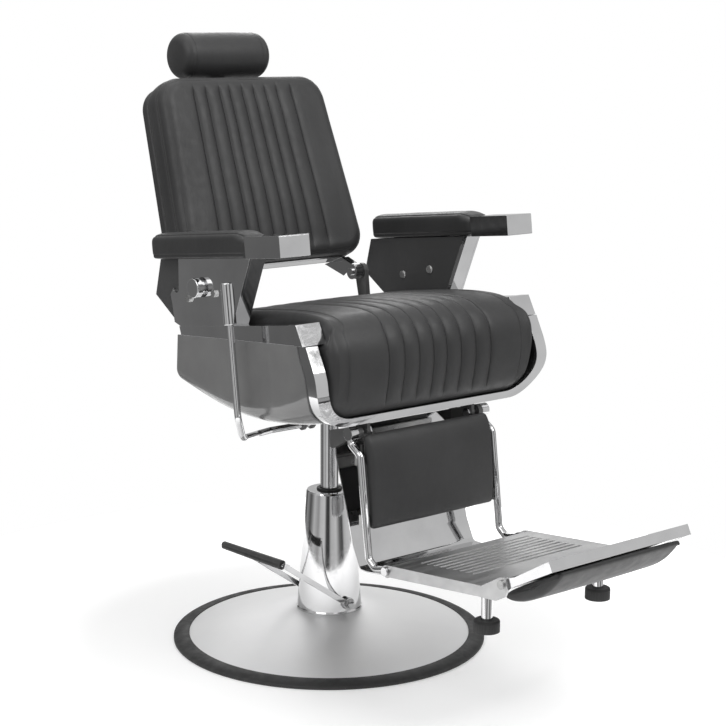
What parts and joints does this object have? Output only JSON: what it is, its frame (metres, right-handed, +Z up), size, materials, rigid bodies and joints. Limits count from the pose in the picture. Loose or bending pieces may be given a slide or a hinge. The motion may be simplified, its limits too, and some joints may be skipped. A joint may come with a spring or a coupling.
{
  "type": "hydraulic barber chair",
  "caption": "Hydraulic barber chair with channelled reclining back, sliding headrest, padded arms, calf pad, ribbed foot plate with flip-over toe flap and round pedestal.",
  "frame": {"origin": "centre of the round base, on the floor", "axes": "+Z up along the lift column; the sitter faces -Y; +X is the sitter's left"},
  "size_m": [0.6845, 1.2502, 1.2571],
  "materials": {
    "chrome": "polished",
    "satin_steel": "satin",
    "vinyl": "fine grained vinyl",
    "grey_panel": "gloss",
    "rubber": "matt",
    "black_steel": "satin",
    "zinc_steel": "plated",
    "cast_alloy": "brushed",
    "pump_iron": "painted",
    "plywood": "raw"
  },
  "bodies": {
    "base": {"base_ring": "rubber", "base_disc": "satin_steel", "pump_body": "pump_iron", "base_bolts": "zinc_steel", "pump_cover": "chrome", "pump_seal": "rubber"},
    "pump_lever": {"pump_axle": "zinc_steel", "pump_fork": "chrome", "pump_grip": "rubber", "pump_caps": "chrome"},
    "ram": {"piston_rod": "chrome"},
    "seat": {"seat_hub": "black_steel", "seat_frame": "black_steel", "seat_board": "plywood", "seat_cushion": "vinyl", "side_panels": "grey_panel", "rear_panel": "grey_panel", "front_trim": "chrome", "side_rails": "chrome", "rail_caps": "chrome", "arm_panels": "vinyl", "arm_plates": "chrome", "arm_edges": "chrome", "arm_pad_r": "vinyl", "arm_pad_l": "vinyl", "arm_fronts": "chrome", "arm_screws": "zinc_steel", "arm_knobs": "chrome", "hinge_lugs": "black_steel", "hinge_pins": "chrome", "lug_bolts": "zinc_steel", "leg_lugs": "black_steel", "leg_pins": "chrome", "lever_bracket": "black_steel", "release_block": "black_steel"},
    "recline_lever": {"lever_rod": "chrome", "lever_sleeve": "chrome"},
    "backrest": {"back_cushion": "vinyl", "back_frame": "black_steel", "back_shell": "vinyl", "back_strip": "chrome", "back_hinges": "chrome", "head_channel": "black_steel"},
    "headrest": {"head_bar": "chrome", "head_roll": "vinyl"},
    "leg_rest": {"calf_tubes": "chrome", "plate_pins": "chrome", "kick_plate": "chrome", "leg_brackets": "black_steel", "calf_bars": "zinc_steel", "calf_board": "vinyl", "calf_pad": "vinyl"},
    "foot_rest": {"foot_plate": "cast_alloy", "foot_frame": "cast_alloy", "foot_legs": "chrome", "foot_pads": "rubber", "flap_pins": "zinc_steel"},
    "toe_flap": {"flap_frame": "chrome", "flap_pad": "vinyl"}
  },
  "joints": [
    {"name": "pump_lever_press", "type": "hinge", "parent": "base", "child": "pump_lever", "pos_m": [-0.008, 0, 0.086], "axis": [0, -1, 0], "range_deg": [0, 24], "stiffness_Nm_per_rad": 6, "springref_deg": -22.92},
    {"name": "seat_lift", "type": "slide", "parent": "base", "child": "ram", "axis": [0, 0, 1], "range_m": [-0.13, 0]},
    {"name": "seat_swivel", "type": "hinge", "parent": "ram", "child": "seat", "pos_m": [0, 0, 0.5], "axis": [0, 0, 1], "continuous": true},
    {"name": "recline_lever_pull", "type": "hinge", "parent": "seat", "child": "recline_lever", "pos_m": [-0.1, -0.055, 0.482], "axis": [-1, 0, 0], "range_deg": [0, 14], "stiffness_Nm_per_rad": 4, "springref_deg": -22.92},
    {"name": "backrest_recline", "type": "hinge", "parent": "seat", "child": "backrest", "pos_m": [0, 0.137, 0.748], "axis": [-1, 0, 0], "range_deg": [0, 48]},
    {"name": "headrest_height", "type": "slide", "parent": "backrest", "child": "headrest", "axis": [0, 0.3437, 0.9391], "range_m": [0, 0.09]},
    {"name": "leg_rest_swing", "type": "hinge", "parent": "seat", "child": "leg_rest", "pos_m": [0, -0.277, 0.512], "axis": [-1, 0, 0], "range_deg": [0, 35]},
    {"name": "foot_plate_fold", "type": "hinge", "parent": "leg_rest", "child": "foot_rest", "pos_m": [0, -0.396, 0.271], "axis": [-1, 0, 0], "range_deg": [0, 45]},
    {"name": "toe_flap_flip", "type": "hinge", "parent": "foot_rest", "child": "toe_flap", "pos_m": [0, -0.70202, 0.32197], "axis": [-1, 0, 0], "range_deg": [0, 150]}
  ],
  "couplings": [
    {"joint": "leg_rest_swing", "follows": "backrest_recline", "ratio": 0.729}
  ]
}
